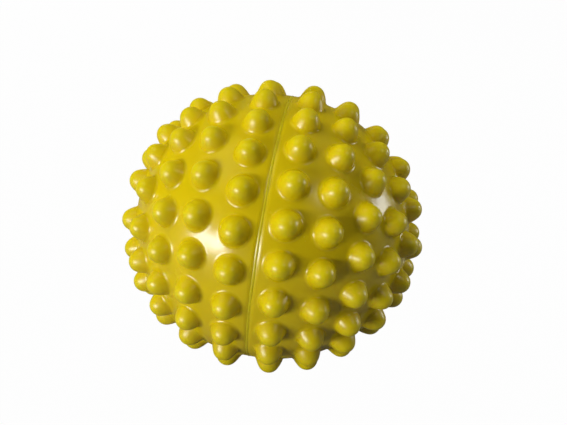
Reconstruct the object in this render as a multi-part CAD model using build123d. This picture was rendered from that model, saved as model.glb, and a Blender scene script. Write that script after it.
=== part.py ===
from build123d import *
import math
import os

# Hollow massage ball: two moulded half skins with blunt nubs, welded together round the middle,
# with an inflation valve at one pole. Millimetres, origin at the ball's centre, +Z up, +X from
# the valve's pole to the plain pole, so that the join lies in the plane X = 0.

# Skin
skin_radius = 39.5          # outside of the skin, between the nubs
skin_wall = 2.8
rim_land = 1.4              # straight band at each rim, which makes a half deeper than a hemisphere

# Nubs
nub_height = 4.2            # over the skin
nub_tip_radius = 3.2
nub_flank_radius = 10.0     # the bulge of the flank, from its round end to its foot
nub_waist_radius = 3.9      # the flank, produced down to the skin
nub_foot_fillet = 0.8
nub_foot_sink = 0.04        # the fillet runs this far under the skin, so that the two cross cleanly
nub_root_depth = 1.4        # how far the nub's root goes into the wall

# Rings of nubs on each half, from the rim to the pole; the valve takes the last ring's place
ring_latitudes = (6.9, 22.6, 38, 53.4, 68.4, 81.1)      # degrees from the rim
ring_counts = (24, 22, 19, 14, 8, 3)
plain_ring_turns = (12.6, 11, 19, 16, 31.1, 33.2)      # a ring's first nub, from -Y towards +Z
valve_ring_turns = (7.5, 9.5, 5.6, 11, 7.8)

# Weld round the join: a tongue in a rebate inside, a bead in a groove outside
tongue_length = 1.8
tongue_wall = 1.1
tongue_clearance = 0.05
bead_width = 0.7
bead_depth = 0.45
bead_proud = 0.3
bead_clearance = 0.03

# Valve
neck_radius = 4.6           # of the hole through the skin
neck_clearance = 0.05       # bond line round the neck and over the flange
flange_radius = 8.5
flange_wall = 1.6
boss_radius = 4.4
boss_depth = 11.0           # from the skin's outside to the boss's inner end
shank_radius = 2.6
shank_clearance = 0.03
head_radius = 3.6
head_wall = 1.2
head_clearance = 0.05
tail_length = 0.8           # how far the plug reaches past the boss
tail_chamfer = 0.5
needle_radius = 1.05
needle_depth = 8.0
needle_lead_in = 0.35

cut_over = 1.0              # how far a cutter reaches past the face that it opens

inner_radius = skin_radius - skin_wall
pole = rim_land + skin_radius       # how far out the skin stands on the axis


def polar(radius, angle):
    """A point of a sketch, at that angle in radians round its origin."""
    return Vector(radius * math.cos(angle), radius * math.sin(angle))


def lathe(*edges):
    """A solid of revolution about X, from the edges round its half section."""
    return revolve(make_face(Curve() + list(edges)), Axis.X)


def ring(inner, outer, start, end):
    """A plain ring about X between two radii and two stations, or a disc if inner is 0."""
    section = Rectangle(end - start, outer - inner)
    return revolve(Pos((start + end) / 2, (inner + outer) / 2) * section, Axis.X)


def skin_arc(radius, low, high):
    """The arc of a half's sphere, on +X, between two distances from the axis."""
    angles = [math.asin(low / radius), math.asin(high / radius)]
    angles.insert(1, sum(angles) / 2)
    return ThreePointArc(*[Vector(rim_land, 0) + polar(radius, angle) for angle in angles])


def half_skin():
    """The +X half without its nubs: a hemisphere on a short land, grooved outside for the bead."""
    rim = Polyline(
        (rim_land, inner_radius),
        (0, inner_radius),
        (0, skin_radius - bead_depth),
        (bead_width / 2, skin_radius - bead_depth),
        (bead_width / 2, skin_radius),
        (rim_land, skin_radius),
    )
    return lathe(
        rim,
        skin_arc(skin_radius, 0, skin_radius),
        Line((pole, 0), (pole - skin_wall, 0)),
        skin_arc(inner_radius, 0, inner_radius),
    )


def nub():
    """One nub, standing on +Z: round end, bulging flank, filleted foot and a root in the wall."""
    tip_centre = Vector(0, skin_radius + nub_height - nub_tip_radius)
    # the flank's arc runs through the waist, and the round end touches it from inside
    to_waist = Vector(nub_waist_radius, skin_radius) - tip_centre
    gap = nub_flank_radius - nub_tip_radius
    along = (nub_flank_radius**2 - gap**2 - to_waist.length**2) / (2 * gap)
    slope = math.acos(along / to_waist.length) + math.atan2(to_waist.Y, to_waist.X)
    flank_centre = tip_centre - polar(gap, slope)
    shoulder = tip_centre + polar(nub_tip_radius, slope)
    crown = tip_centre + polar(nub_tip_radius, (slope + math.pi / 2) / 2)
    # the fillet's centre is a fillet's radius off the flank and over the sunk skin
    sunk_skin = skin_radius - nub_foot_sink
    over_skin = sunk_skin + nub_foot_fillet
    off_flank = nub_flank_radius + nub_foot_fillet
    far = flank_centre.length
    reach = (far**2 + over_skin**2 - off_flank**2) / (2 * far)
    lean = math.atan2(flank_centre.Y, flank_centre.X) - math.acos(reach / over_skin)
    fillet_centre = polar(over_skin, lean)
    knee = flank_centre + (fillet_centre - flank_centre).normalized() * nub_flank_radius
    side = flank_centre + ((shoulder + knee) / 2 - flank_centre).normalized() * nub_flank_radius
    toe = polar(sunk_skin, lean)
    hollow = fillet_centre + ((knee + toe) / 2 - fillet_centre).normalized() * nub_foot_fillet
    root = skin_radius - nub_root_depth
    top = Vector(0, skin_radius + nub_height)
    outline = Curve() + [
        ThreePointArc(top, crown, shoulder),
        ThreePointArc(shoulder, side, knee),
        ThreePointArc(knee, hollow, toe),
        Polyline(toe, (toe.X, root), (0, root), top),
    ]
    return revolve(make_face(Plane.XZ * outline), Axis.Z)


def with_nubs(shell, side, turns):
    """A half with its rings of nubs, fused on ring by ring; side is 1 for +X and -1 for -X."""
    blank = nub()
    for latitude, count, turn in zip(ring_latitudes, ring_counts, turns):
        placed = []
        for index in range(count):
            spin = math.radians(turn - index * 360 / count)
            across = polar(math.cos(math.radians(latitude)), spin)
            up = Vector(side * math.sin(math.radians(latitude)), -across.X, across.Y)
            placed.append(Plane(origin=(side * rim_land, 0, 0), z_dir=up).location * blank)
        shell += placed
    return shell


def plain_half_shell():
    """The +X half, with the tongue inside its rim."""
    tongue = ring(inner_radius, inner_radius + tongue_wall, -tongue_length, rim_land)
    return with_nubs(half_skin() + tongue, 1, plain_ring_turns)


def valve_half_shell():
    """The -X half, with the rebate for the tongue and the hole for the valve's neck."""
    shell = with_nubs(mirror(half_skin(), Plane.YZ), -1, valve_ring_turns)
    rebate_outer = inner_radius + tongue_wall + tongue_clearance
    rebate = ring(inner_radius - cut_over, rebate_outer, -tongue_length - tongue_clearance, 0)
    return shell - rebate - ring(0, neck_radius, -pole - cut_over, -rim_land)


def seam_weld_bead():
    """The bead in the groove round the join, with a round crest that stands proud."""
    floor = skin_radius - bead_depth + bead_clearance
    crest = ThreePointArc(
        (-bead_width / 2, skin_radius),
        (0, skin_radius + bead_proud),
        (bead_width / 2, skin_radius),
    )
    sides = Polyline(crest @ 1, (bead_width / 2, floor), (-bead_width / 2, floor), crest @ 0)
    return lathe(crest, sides)


def valve_seat():
    """The insert in the hole: neck flush with the skin, flange inside it, boss with the bore."""
    neck = neck_radius - neck_clearance
    under = inner_radius - neck_clearance       # the flange's own sphere, under the skin
    back = under - flange_wall
    face = skin_arc(skin_radius, head_radius + head_clearance, neck)
    top = skin_arc(under, neck, flange_radius)
    bottom = skin_arc(back, boss_radius, flange_radius * back / under)
    recess = (face @ 0).X - head_wall
    bore = shank_radius + shank_clearance
    end = pole - boss_depth
    seat = lathe(
        face,
        Line(face @ 1, top @ 0),
        top,
        Line(top @ 1, bottom @ 1),
        bottom,
        Polyline(bottom @ 0, (end, boss_radius), (end, bore), (recess, bore)),
        Polyline((recess, bore), (recess, (face @ 0).Y), face @ 0),
    )
    return mirror(seat, Plane.YZ)


def valve_plug():
    """The plug: head flush with the skin, shank in the bore, blind channel for a pump's needle."""
    seat_edge = skin_arc(skin_radius, head_radius + head_clearance, neck_radius) @ 0
    shoulder = seat_edge.X - head_wall
    end = pole - boss_depth - tail_length
    face = skin_arc(skin_radius, needle_radius + needle_lead_in, head_radius)
    mouth = (face @ 0).X - needle_lead_in
    outside = Polyline(
        face @ 1,
        (shoulder, head_radius),
        (shoulder, shank_radius),
        (end + tail_chamfer, shank_radius),
        (end, shank_radius - tail_chamfer),
        (end, 0),
    )
    channel = Polyline(
        outside @ 1,
        (mouth - needle_depth, 0),
        (mouth - needle_depth, needle_radius),
        (mouth, needle_radius),
        face @ 0,
    )
    return mirror(lathe(face, outside, channel), Plane.YZ)


os.makedirs("parts", exist_ok=True)
for piece in (plain_half_shell, valve_half_shell, seam_weld_bead, valve_seat, valve_plug):
    export_step(piece(), f"parts/{piece.__name__}.step")
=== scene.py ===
import math
import bpy
import numpy as np
from mathutils import Matrix, Vector


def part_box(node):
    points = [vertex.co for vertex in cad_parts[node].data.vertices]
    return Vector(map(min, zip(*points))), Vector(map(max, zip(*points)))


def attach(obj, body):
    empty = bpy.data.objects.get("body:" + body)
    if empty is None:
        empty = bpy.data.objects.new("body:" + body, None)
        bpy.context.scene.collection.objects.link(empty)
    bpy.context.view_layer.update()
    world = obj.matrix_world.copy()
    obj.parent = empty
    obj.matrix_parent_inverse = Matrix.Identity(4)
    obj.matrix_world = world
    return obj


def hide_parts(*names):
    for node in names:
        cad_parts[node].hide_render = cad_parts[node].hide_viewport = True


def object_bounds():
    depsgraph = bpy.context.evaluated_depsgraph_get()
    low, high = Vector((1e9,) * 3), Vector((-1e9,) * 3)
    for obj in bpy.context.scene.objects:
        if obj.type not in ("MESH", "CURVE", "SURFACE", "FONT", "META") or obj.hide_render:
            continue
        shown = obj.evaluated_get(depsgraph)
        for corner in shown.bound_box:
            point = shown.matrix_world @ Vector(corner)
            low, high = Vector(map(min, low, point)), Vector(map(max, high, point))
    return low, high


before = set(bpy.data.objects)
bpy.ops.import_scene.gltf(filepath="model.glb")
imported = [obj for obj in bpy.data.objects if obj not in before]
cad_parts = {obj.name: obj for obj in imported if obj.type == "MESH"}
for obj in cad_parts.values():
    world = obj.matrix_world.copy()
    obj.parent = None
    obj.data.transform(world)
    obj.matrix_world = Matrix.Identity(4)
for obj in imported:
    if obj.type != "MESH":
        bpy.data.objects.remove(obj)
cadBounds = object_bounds()
print("frame loaded")

# Metres. The ball's rings of nubs go round X, the join lies in X = 0 and the valve is at -X.
# Turns round X are counted from -Y towards +Z.


samePoint = 1e-9
cornerSteps = 5
flatShare = 0.3     # of a rounding: how far off the points lie that keep its flats flat


def gridMesh(name, points):
    # points is rows x columns x 3, round in both directions, and a row of one repeated point is
    # a pole. Outside walls run from -X to +X, so that their faces point outwards.
    rows, columns = points.shape[:2]
    index = np.arange(rows * columns).reshape(rows, columns)
    isPole = np.ptp(points, axis=1).max(axis=1) < samePoint
    index[isPole] = index[isPole, :1]
    below = np.roll(index, -1, axis=0)
    quads = np.stack([index, below, np.roll(below, -1, axis=1), np.roll(index, -1, axis=1)], axis=-1)
    quads = quads[~(isPole & np.roll(isPole, -1))].reshape(-1, 4)   # nothing between two poles
    used, quads = np.unique(quads, return_inverse=True)
    faces = [list(dict.fromkeys(quad)) for quad in quads.reshape(-1, 4).tolist()]
    mesh = bpy.data.meshes.new(name)
    mesh.from_pydata(points.reshape(-1, 3)[used].tolist(), [], faces)
    mesh.shade_smooth()
    piece = bpy.data.objects.new(name, mesh)
    bpy.context.scene.collection.objects.link(piece)
    print(name, len(mesh.polygons), "faces")
    return piece


def turned(outline, columns):
    # outline is (x, radius) rows: every point goes round X in even steps
    turn = np.arange(columns) * 2 * np.pi / columns
    x, radius = outline[:, :1], outline[:, 1:]
    return np.stack([x + 0 * turn, -radius * np.cos(turn), radius * np.sin(turn)], axis=-1)


def arc(centre, radius, start, end, steps):
    # a round stretch of an outline, with angles in radians from +X
    angle = np.linspace(start, end, steps)
    return np.array(centre) + radius * np.stack([np.cos(angle), np.sin(angle)], axis=-1)


def softened(corners):
    # corners is (x, radius, rounding) rows of a closed outline: each corner with a rounding is an
    # arc that touches both of its edges, with a point just before and after it to keep flats flat
    points = np.array([corner[:2] for corner in corners], float)
    outline = []
    for number, (x, radius, rounding) in enumerate(corners):
        here = points[number]
        if rounding == 0:
            outline.append(here[None])
            continue
        before = points[number - 1] - here
        after = points[(number + 1) % len(points)] - here
        before, after = before / np.linalg.norm(before), after / np.linalg.norm(after)
        half = math.acos(np.clip(before @ after, -1, 1)) / 2
        centre = here + (before + after) / np.linalg.norm(before + after) * rounding / math.sin(half)
        reach = rounding / math.tan(half)
        start, end = here + before * reach, here + after * reach
        first = math.atan2(*(start - centre)[::-1])
        sweep = (math.atan2(*(end - centre)[::-1]) - first + np.pi) % (2 * np.pi) - np.pi
        outline += [(start + before * rounding * flatShare)[None]]
        outline += [arc(centre, rounding, first, first + sweep, cornerSteps)]
        outline += [(end + after * rounding * flatShare)[None]]
    return np.vstack(outline)


skin = {
    "wall": 0.0028,
    "land": 0.0014,             # straight band at each rim
    "grooveWidth": 0.00025,     # on each side of the join
    "grooveDepth": 0.00045,
    "grooveBevel": 0.00004,
    "beadProud": 0.0003,        # of the frame's bead, which the skin's radius is worked out from
    "valveHole": 0.0046,
    "columns": 576,
    "rows": 150,
    "rowsInside": 14,
}
nubs = {
    "height": 0.0042,
    "tipRadius": 0.0032,
    "flankRadius": 0.0100,      # the flank bulges a little
    "waistRadius": 0.0039,      # the flank, produced down to the skin
    "footFillet": 0.0008,
    "latitudes": (6.9, 22.6, 38, 53.4, 68.4, 81.1),
    "counts": (24, 22, 19, 14, 8, 3),
    "plainTurns": (12.6, 11, 19, 16, 31.1, 33.2),
    "valveTurns": (7.5, 9.5, 5.6, 11, 7.8),
    "steps": (50, 20, 24),      # points along the round end, the flank and the fillet
    "lean": 0.00012,            # how far a nub's tip strays
    "uprightPast": 0.9,         # of the way to the pole, where none leans outwards
    "share": (0.985, 0.998),    # of the height that each nub reaches
    "seed": 7,
}
skin["radius"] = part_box("seam_weld_bead")[1][2] - skin["beadProud"]


def nubProfile(radius):
    # distance from the nub's own axis and height over the ball's centre, from the tip to the
    # toe of the foot: a round end, a bulging flank that touches it and runs through the waist,
    # and a hollow fillet that touches the flank and the skin, each an arc. It comes back
    # against the share of its own length.
    tip, flank, fillet = nubs["tipRadius"], nubs["flankRadius"], nubs["footFillet"]
    tipCentre = np.array([0, radius + nubs["height"] - tip])
    toWaist = np.array([nubs["waistRadius"], radius]) - tipCentre
    along = (tip * (2 * flank - tip) - toWaist @ toWaist) / (2 * (flank - tip))
    slope = math.acos(along / np.linalg.norm(toWaist)) + math.atan2(toWaist[1], toWaist[0])
    flankCentre = tipCentre - (flank - tip) * np.array([math.cos(slope), math.sin(slope)])
    # the fillet's centre is a fillet's radius off both the flank and the skin
    away = np.linalg.norm(flankCentre)
    fromSkin, fromFlank = radius + fillet, flank + fillet
    base = (fromSkin**2 - fromFlank**2 + away**2) / (2 * away)
    line = flankCentre / away
    side = np.array([line[1], -line[0]]) * math.sqrt(fromSkin**2 - base**2)
    filletCentre = line * base + (side if side[0] > 0 else -side)
    knee = math.atan2(*(filletCentre - flankCentre)[::-1])
    inward = math.atan2(-filletCentre[1], -filletCentre[0])
    profile = np.vstack([
        arc(tipCentre, tip, np.pi / 2, slope, nubs["steps"][0]),
        arc(flankCentre, flank, slope, knee, nubs["steps"][1])[1:],
        arc(filletCentre, fillet, knee - np.pi, inward, nubs["steps"][2])[1:],
    ])
    share = np.concatenate([[0], np.cumsum(np.linalg.norm(np.diff(profile, axis=0), axis=1))])
    return share / share[-1], profile[:, 0], profile[:, 1]


def nubAxes(side):
    # the direction of each nub from the centre of its half, ring by ring
    axes = []
    turns = nubs["plainTurns"] if side > 0 else nubs["valveTurns"]
    for latitude, count, turn in zip(nubs["latitudes"], nubs["counts"], turns):
        around = np.radians(turn - np.arange(count) * 360 / count)
        latitude = math.radians(latitude)
        across = math.cos(latitude)
        up = np.full(count, side * math.sin(latitude))
        axes.append(np.stack([up, -across * np.cos(around), across * np.sin(around)], axis=-1))
    return np.vstack(axes)


def raiseNubs(points, side):
    # The skin is drawn up over its nubs: a point that lies inside a nub's foot, at some share of
    # the way from the nub's middle to its toe, moves to the same share of the nub's profile.
    radius = skin["radius"]
    centre = np.array([side * skin["land"], 0, 0])
    axes = nubAxes(side)
    rng = np.random.default_rng(nubs["seed"])
    leans = rng.normal(0, nubs["lean"], axes.shape)
    leans -= axes * np.sum(leans * axes, axis=1, keepdims=True)
    # near the pole a lean outwards would make the ball longer
    leans[(leans[:, 0] * side > 0) & (np.abs(axes[:, 0]) > nubs["uprightPast"])] = 0
    tallness = rng.uniform(*nubs["share"], len(axes))
    flat = (points - centre).reshape(-1, 3)
    unit = flat / np.linalg.norm(flat, axis=1, keepdims=True)
    nearness = unit @ axes.T
    nearest = nearness.argmax(axis=1)
    axis = axes[nearest]
    angle = np.arccos(np.clip(nearness.max(axis=1), -1, 1))
    share, lateral, height = nubProfile(radius)
    part = angle / math.atan2(lateral[-1], height[-1])
    aside = unit - axis * np.sum(unit * axis, axis=1, keepdims=True)
    aside /= np.maximum(np.linalg.norm(aside, axis=1, keepdims=True), samePoint)
    out = np.interp(part, share, lateral)[:, None]
    up = np.interp(part, share, height)
    rise = np.maximum(up - radius, 0)
    up = (up - rise * (1 - tallness[nearest]))[:, None]
    sway = leans[nearest] * (rise / nubs["height"])[:, None]
    raised = axis * up + aside * out + sway
    onSkin = (part < 1) & (unit[:, 0] * side > 0)
    return centre + np.where(onSkin[:, None], raised, flat).reshape(points.shape)


def markRise(piece, side):
    # each point's share of a nub's height, eased in and out, is kept in the mesh for its vinyl: it paints
    # a glow of light on the nubs and shade between them, and dulls their gloss
    mesh = piece.data
    place = np.empty(len(mesh.vertices) * 3)
    mesh.vertices.foreach_get("co", place)
    fromCentre = place.reshape(-1, 3) - [side * skin["land"], 0, 0]
    height = np.linalg.norm(fromCentre, axis=1) - skin["radius"]
    share = np.clip(height / nubs["height"], 0, 1)
    nubRise = mesh.attributes.new("nubRise", "FLOAT", "POINT")
    nubRise.data.foreach_set("value", share * share * (3 - 2 * share))


def halfSkin(name, side, hole):
    # A closed shell turned round X: the land and the sphere outside, back along the inner
    # sphere, and the grooved rim. The valve's hole, if there is one, joins the two spheres.
    radius, land = skin["radius"], skin["land"]
    inner = radius - skin["wall"]
    outerEnd = math.asin(hole / radius)
    innerEnd = math.asin(hole / inner)
    floor, edge, bevel = radius - skin["grooveDepth"], skin["grooveWidth"], skin["grooveBevel"]
    groove = np.array([
        [0, inner],
        [0, floor],
        [edge, floor],
        [edge, radius - bevel],
        [edge + bevel, radius],
    ])
    outside = arc((land, 0), radius, np.pi / 2, outerEnd, skin["rows"])
    inside = arc((land, 0), inner, innerEnd, np.pi / 2, skin["rowsInside"])
    outline = np.vstack([groove, outside, inside])
    first, last = len(groove), len(groove) + len(outside)
    points = turned(outline * [side, 1], skin["columns"])
    points[first:last] = raiseNubs(points[first:last], side)
    if hole == 0:
        poles = [[side * (land + radius), 0, 0]], [[side * (land + inner), 0, 0]]
        points[last - 1:last + 1] = poles
    half = gridMesh(name, points if side > 0 else points[::-1])
    markRise(half, side)
    return half


plainSkin = halfSkin("plainSkin", 1, 0)
valveSkin = halfSkin("valveSkin", -1, skin["valveHole"])


weld = {
    "halfWidth": 0.00042,
    "proud": 0.0001,
    "depth": 0.0004,
    "sunk": 0.00001,            # its edges lie this far under the skin
    "inGroove": 0.42,           # its share of that width in the groove
    "wander": 0.00003,
    "unevenness": 0.2,
    "columns": 720,
    "sectionPoints": 24,
}


def weldBead():
    # A section carried round the join: over the skin it rises and falls as the fourth power of a
    # sine, so that it runs out flat at its edges, and in the groove it is half an oval. Its size
    # swells and its line wanders by slow waves that go a whole number of times round the ball.
    turn = (np.arange(weld["columns"]) * 2 * np.pi / weld["columns"])[None]
    section = np.linspace(0, 2 * np.pi, weld["sectionPoints"], endpoint=False)[:, None]
    waves = np.sin(7 * turn) + np.sin(19 * turn + 1) + np.sin(43 * turn + 2)
    swell = 1 + weld["unevenness"] * waves / 3
    wander = weld["wander"] * (np.sin(5 * turn + 0.5) + np.sin(13 * turn))
    over = np.sin(section)
    rise = np.where(over > 0, weld["proud"] * swell * over**4, weld["depth"] * over)
    radius = skin["radius"] - weld["sunk"] + rise
    x = -weld["halfWidth"] * np.cos(section) * np.where(over < 0, weld["inGroove"], swell) + wander
    return gridMesh("weldBead", np.stack([x, -radius * np.cos(turn), radius * np.sin(turn)], axis=-1))


bead = weldBead()


valve = {
    "neck": 0.00455,
    "flange": 0.0085,
    "flangeWall": 0.0016,
    "boss": 0.0044,
    "bore": 0.00263,
    "recess": 0.00365,
    "headWall": 0.0012,
    "head": 0.0036,
    "shank": 0.0026,
    "channel": 0.00105,
    "channelDepth": 0.008,
    "bondLine": 0.0001,
    "flangeDrop": 0.0009,       # the flange curves away with the skin
    "faceBevel": 0.0001,
    "tailChamfer": 0.0005,
    "dish": 0.0003,             # how far the head's middle is dished
    "dishRim": 0.0007,
    "mouthLip": 0.0006,
    "headSunk": 0.00005,
    "columns": 96,
}


def seatOutline():
    # the seat's half section, on +X: round the face, down outside the neck, round the flange,
    # along the boss and back up its bore
    low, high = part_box("valve_seat")
    end, face = -high[0], -low[0]
    under = face - skin["wall"] - valve["bondLine"]
    back = under - valve["flangeWall"]
    drop = valve["flangeDrop"]
    recess = face - valve["headWall"]
    corners = [
        (face, valve["recess"], 0.00012),
        (recess, valve["recess"], 0),
        (recess, valve["bore"], 0.00012),
        (end, valve["bore"], 0.00015),
        (end, valve["boss"], 0.0004),
        (back, valve["boss"], 0.0004),
        (back - drop, valve["flange"], 0.0004),
        (under - drop, valve["flange"], 0.0004),
        (under - valve["bondLine"], valve["neck"], 0),
        (face - valve["faceBevel"], valve["neck"], 0.00012),
    ]
    return softened(corners)


def plugOutline():
    # the plug's half section, on +X: dished head, shank with a chamfered tail, and the channel
    low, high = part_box("valve_plug")
    end, face = -high[0], -low[0]
    shoulder = face - valve["headWall"]
    top = face - valve["headSunk"]
    mouth = face - valve["dish"]
    bottom = mouth - valve["channelDepth"]
    chamfer = valve["tailChamfer"]
    corners = [
        (mouth, valve["channel"], 0.0002),
        (bottom, valve["channel"], 0.0003),
        (bottom, 0, 0),
        (end, 0, 0),
        (end, valve["shank"] - chamfer, 0.0002),
        (end + chamfer, valve["shank"], 0.0002),
        (shoulder, valve["shank"], 0),
        (shoulder, valve["head"], 0.00015),
        (top, valve["head"], 0.0002),
        (top, valve["head"] - valve["dishRim"], 0.0002),
        (mouth, valve["channel"] + valve["mouthLip"], 0.0003),
    ]
    return softened(corners)


def valvePiece(name, outline):
    # the half section, turned over to -X and carried round the axis
    return gridMesh(name, turned(outline * [-1, 1], valve["columns"]))


valveSeat = valvePiece("valveSeat", seatOutline())
valvePlug = valvePiece("valvePlug", plugOutline())


# the pale tone is painted up the nubs as a painted glow of light, and the deep tone, darker and more
# orange, is painted shade on the skin between them; the two also mix in slow clouds
tones = {
    "skinVinyl": {
        "paleCloudAndNubGlow": (0.655, 0.56, 0.001),
        "deepCloudAndGapShade": (0.6, 0.44, 0.0004),
        "roughness": (0.20, 0.28),
        "subsurface": 0.3,
    },
    "weldVinyl": {
        "paleCloudAndNubGlow": (0.68, 0.56, 0.004),
        "deepCloudAndGapShade": (0.62, 0.49, 0.002),
        "roughness": (0.24, 0.34),
        "subsurface": 0.3,
    },
    "seatVinyl": {
        "paleCloudAndNubGlow": (0.58, 0.44, 0.01),
        "deepCloudAndGapShade": (0.5, 0.37, 0.006),
        "roughness": (0.4, 0.5),
        "subsurface": 0.3,
    },
    "plugRubber": {
        "paleCloudAndNubGlow": (0.46, 0.34, 0.03),
        "deepCloudAndGapShade": (0.40, 0.29, 0.02),
        "roughness": (0.5, 0.62),
        "subsurface": 0.05,
    },
}
vinyl = {
    "toneScale": 45,
    "toneDetail": 3,
    "toneShare": 0.25,          # of the slow clouds between the two tones
    "nubGlowAndGapShadeShare": 0.5,            # and of the nubs, which paints a glow up them and shade between them
    "glossScale": 160,
    "glossDetail": 4,
    "glossContrast": (0.3, 0.7),
    "nubDullness": 0.1,         # roughness that handling adds on the nubs
    "dullnessRise": 5,          # how soon it comes above their feet
    "waveScale": 90,
    "waveHeight": 0.00006,
    "grainScale": 2600,
    "grainHeight": 0.000006,
    "grainStrength": 0.5,
    "bumpDetail": 2,
    "refraction": 1.5,
    "scatter": 0.003,           # how far light goes under the surface, and each colour's share
    "scatterShares": (1.0, 0.7, 0.08),
}


def softVinyl(name, paleCloudAndNubGlow, deepCloudAndGapShade, roughness, subsurface):
    # moulded soft vinyl: two close tones mixed in slow clouds, with painted light over them: paler up the
    # nubs as a painted glow and deeper between them as painted shade; gloss that varies a little and is
    # duller on the nubs, a slow wave under the highlights, and a fine grain
    material = bpy.data.materials.new(name)
    material.use_nodes = True
    nodes, links = material.node_tree.nodes, material.node_tree.links
    shader = nodes["Principled BSDF"]
    place = nodes.new("ShaderNodeTexCoord").outputs["Object"]

    def noise(scale, detail):
        node = nodes.new("ShaderNodeTexNoise")
        node.inputs["Scale"].default_value = scale
        node.inputs["Detail"].default_value = detail
        links.new(place, node.inputs["Vector"])
        return node.outputs["Fac"]

    tone = nodes.new("ShaderNodeMix")
    tone.data_type = "RGBA"
    tone.inputs["A"].default_value = (*deepCloudAndGapShade, 1)
    tone.inputs["B"].default_value = (*paleCloudAndNubGlow, 1)
    clouds = nodes.new("ShaderNodeMath")
    clouds.operation = "MULTIPLY"
    links.new(noise(vinyl["toneScale"], vinyl["toneDetail"]), clouds.inputs[0])
    clouds.inputs[1].default_value = vinyl["toneShare"]
    # painted light: the nubs' height share paints them paler, a painted glow, and leaves the skin between
    # them in the deep tone, a painted shade
    share = nodes.new("ShaderNodeMath")
    share.operation = "MULTIPLY_ADD"
    nubRise = nodes.new("ShaderNodeAttribute")
    nubRise.attribute_name = "nubRise"
    links.new(nubRise.outputs["Fac"], share.inputs[0])
    share.inputs[1].default_value = vinyl["nubGlowAndGapShadeShare"]
    links.new(clouds.outputs[0], share.inputs[2])
    links.new(share.outputs[0], tone.inputs["Factor"])
    links.new(tone.outputs["Result"], shader.inputs["Base Color"])

    gloss = nodes.new("ShaderNodeMapRange")
    gloss.inputs["From Min"].default_value, gloss.inputs["From Max"].default_value = vinyl["glossContrast"]
    gloss.inputs["To Min"].default_value, gloss.inputs["To Max"].default_value = roughness
    links.new(noise(vinyl["glossScale"], vinyl["glossDetail"]), gloss.inputs["Value"])
    handled = nodes.new("ShaderNodeMath")
    handled.operation = "MULTIPLY"
    handled.use_clamp = True
    links.new(nubRise.outputs["Fac"], handled.inputs[0])
    handled.inputs[1].default_value = vinyl["dullnessRise"]
    dullness = nodes.new("ShaderNodeMath")
    dullness.operation = "MULTIPLY_ADD"
    links.new(handled.outputs[0], dullness.inputs[0])
    dullness.inputs[1].default_value = vinyl["nubDullness"]
    links.new(gloss.outputs["Result"], dullness.inputs[2])
    links.new(dullness.outputs[0], shader.inputs["Roughness"])

    waves = nodes.new("ShaderNodeBump")
    waves.inputs["Strength"].default_value = 1
    waves.inputs["Distance"].default_value = vinyl["waveHeight"]
    links.new(noise(vinyl["waveScale"], vinyl["bumpDetail"]), waves.inputs["Height"])
    grain = nodes.new("ShaderNodeBump")
    grain.inputs["Strength"].default_value = vinyl["grainStrength"]
    grain.inputs["Distance"].default_value = vinyl["grainHeight"]
    links.new(noise(vinyl["grainScale"], vinyl["bumpDetail"]), grain.inputs["Height"])
    links.new(waves.outputs["Normal"], grain.inputs["Normal"])
    links.new(grain.outputs["Normal"], shader.inputs["Normal"])

    shader.inputs["IOR"].default_value = vinyl["refraction"]
    shader.inputs["Subsurface Weight"].default_value = subsurface
    shader.inputs["Subsurface Radius"].default_value = vinyl["scatterShares"]
    shader.inputs["Subsurface Scale"].default_value = vinyl["scatter"]
    return material


materials = {name: softVinyl(name, **tone) for name, tone in tones.items()}
for piece, node, body, slot, material in (
    (plainSkin, "plain_half_shell", "ball", "plain_skin", "skinVinyl"),
    (valveSkin, "valve_half_shell", "ball", "valve_skin", "skinVinyl"),
    (bead, "seam_weld_bead", "ball", "weld", "weldVinyl"),
    (valveSeat, "valve_seat", "ball", "seat", "seatVinyl"),
    (valvePlug, "valve_plug", "plug", "plug", "plugRubber"),
):
    piece.data.materials.append(materials[material])
    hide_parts(node)
    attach(piece, body)
print("pieces made")


# degrees, metres, and millimetres for the sensor and the lens
view = {
    "elevation": 26.4,
    "azimuth": 4.6,
    "roll": 7.6,
    "distance": 0.198,
    "sensor": 36,
    "lens": 41.08,
    "shift": (0.0192, 0.0241),
    "clip": (0.01, 20),
}


def viewAxes():
    # right, up and towards the camera, in the row frame, after the camera's roll
    elevation, azimuth = math.radians(view["elevation"]), math.radians(view["azimuth"])
    towards = Vector((
        math.sin(azimuth) * math.cos(elevation),
        -math.cos(azimuth) * math.cos(elevation),
        math.sin(elevation),
    ))
    right = Vector((math.cos(azimuth), math.sin(azimuth), 0))
    roll = Matrix.Rotation(math.radians(view["roll"]), 3, towards)
    return roll @ right, roll @ towards.cross(right), towards


def addCamera():
    right, up, towards = viewAxes()
    data = bpy.data.cameras.new("camera")
    data.sensor_width = view["sensor"]
    data.lens = view["lens"]
    data.shift_x, data.shift_y = view["shift"]
    data.clip_start, data.clip_end = view["clip"]
    camera = bpy.data.objects.new("camera", data)
    turn = Matrix((right, up, towards)).transposed().to_4x4()
    camera.matrix_world = Matrix.Translation(towards * view["distance"]) @ turn
    bpy.context.scene.collection.objects.link(camera)
    bpy.context.scene.camera = camera


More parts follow.
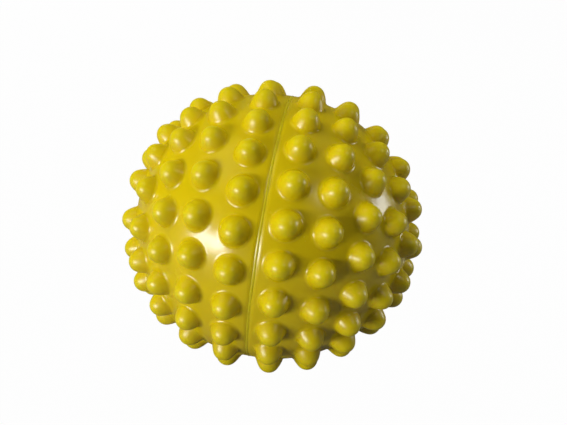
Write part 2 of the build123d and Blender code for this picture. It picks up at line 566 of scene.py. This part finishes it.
# direction is right, up and towards the camera, and a lamp out of the gloss gives no highlight
lamps = {
    "keyLeft": {
        "direction": (-0.74, -0.28, 0.61),
        "distance": 0.7,
        "size": (0.36, 0.28),
        "power": 7.9,
        "inGloss": True,
    },
    "softTop": {
        "direction": (-0.5, 0.75, 0.45),
        "distance": 0.8,
        "size": (0.5, 0.5),
        "power": 3.2,
        "inGloss": False,
    },
    "topRight": {
        "direction": (0.5, 0.85, 0.2),
        "distance": 0.8,
        "size": (0.5, 0.5),
        "power": 1.5,
        "inGloss": False,
    },
    "fillRight": {
        "direction": (0.58, 0.40, 0.71),
        "distance": 0.9,
        "size": (0.14, 0.14),
        "power": 0.5,
        "inGloss": True,
    },
    "rimRight": {
        "direction": (0.96, 0.20, -0.12),
        "distance": 0.7,
        "size": (0.2, 0.2),
        "power": 1.0,
        "inGloss": True,
    },
    "softBack": {
        "direction": (-0.25, 0.75, -0.6),
        "distance": 0.8,
        "size": (0.4, 0.4),
        "power": 4.0,
        "inGloss": False,
    },
}


def addLamp(name, direction, distance, size, power, inGloss):
    # the lamp faces the ball
    right, up, towards = viewAxes()
    away = (right * direction[0] + up * direction[1] + towards * direction[2]).normalized()
    data = bpy.data.lights.new(name, "AREA")
    data.shape = "RECTANGLE"
    data.size, data.size_y = size
    data.energy = power
    lamp = bpy.data.objects.new(name, data)
    turn = away.to_track_quat("Z", "Y").to_matrix().to_4x4()
    lamp.matrix_world = Matrix.Translation(away * distance) @ turn
    lamp.visible_glossy = inGloss
    bpy.context.scene.collection.objects.link(lamp)


backdrop = {
    "white": {"Is Camera Ray": 0.985, "Is Glossy Ray": 0.01, "Is Transmission Ray": 0.01},
    "floorReach": 6,
    "floorPaint": 0.2,
    "floorRoughness": 0.9,
    "ambient": 0.04,
}


def whiteToView(tree, plain, output):
    # near white to the camera, a little white in reflections, and the plain shader to the rest
    nodes, links = tree.nodes, tree.links
    path = nodes.new("ShaderNodeLightPath")
    share = None
    for ray, white in backdrop["white"].items():
        term = nodes.new("ShaderNodeMath")
        term.operation = "MULTIPLY_ADD"
        links.new(path.outputs[ray], term.inputs[0])
        term.inputs[1].default_value = white
        term.inputs[2].default_value = 0
        if share:
            links.new(share, term.inputs[2])
        share = term.outputs[0]
    mix = nodes.new("ShaderNodeMixShader")
    white = nodes.new("ShaderNodeEmission" if output.type == "OUTPUT_MATERIAL" else "ShaderNodeBackground")
    links.new(share, mix.inputs[0])
    links.new(plain.outputs[0], mix.inputs[1])
    links.new(white.outputs[0], mix.inputs[2])
    white.inputs["Color"].default_value = (1, 1, 1, 1)
    white.inputs["Strength"].default_value = 1
    links.new(mix.outputs[0], output.inputs["Surface"])


def addFloor():
    bottom = cadBounds[0][2]
    mesh = bpy.data.meshes.new("floor")
    reach = backdrop["floorReach"]
    corners = [(x * reach, y * reach, bottom) for x, y in ((-1, -1), (1, -1), (1, 1), (-1, 1))]
    mesh.from_pydata(corners, [], [(0, 1, 2, 3)])
    floor = bpy.data.objects.new("floor", mesh)
    bpy.context.scene.collection.objects.link(floor)
    material = bpy.data.materials.new("paleFloor")
    material.use_nodes = True
    nodes = material.node_tree.nodes
    paint = nodes["Principled BSDF"]
    paint.inputs["Base Color"].default_value = (*[backdrop["floorPaint"]] * 3, 1)
    paint.inputs["Roughness"].default_value = backdrop["floorRoughness"]
    whiteToView(material.node_tree, paint, nodes["Material Output"])
    mesh.materials.append(material)


def addWorld():
    world = bpy.data.worlds.new("studio")
    world.use_nodes = True
    nodes = world.node_tree.nodes
    ambient = nodes["Background"]
    ambient.inputs["Color"].default_value = (1, 1, 1, 1)
    ambient.inputs["Strength"].default_value = backdrop["ambient"]
    whiteToView(world.node_tree, ambient, nodes["World Output"])
    bpy.context.scene.world = world


addCamera()
for name, lamp in lamps.items():
    addLamp(name, **lamp)
addFloor()
addWorld()
bpy.context.scene.view_settings.view_transform = "Standard"
print("stage set")
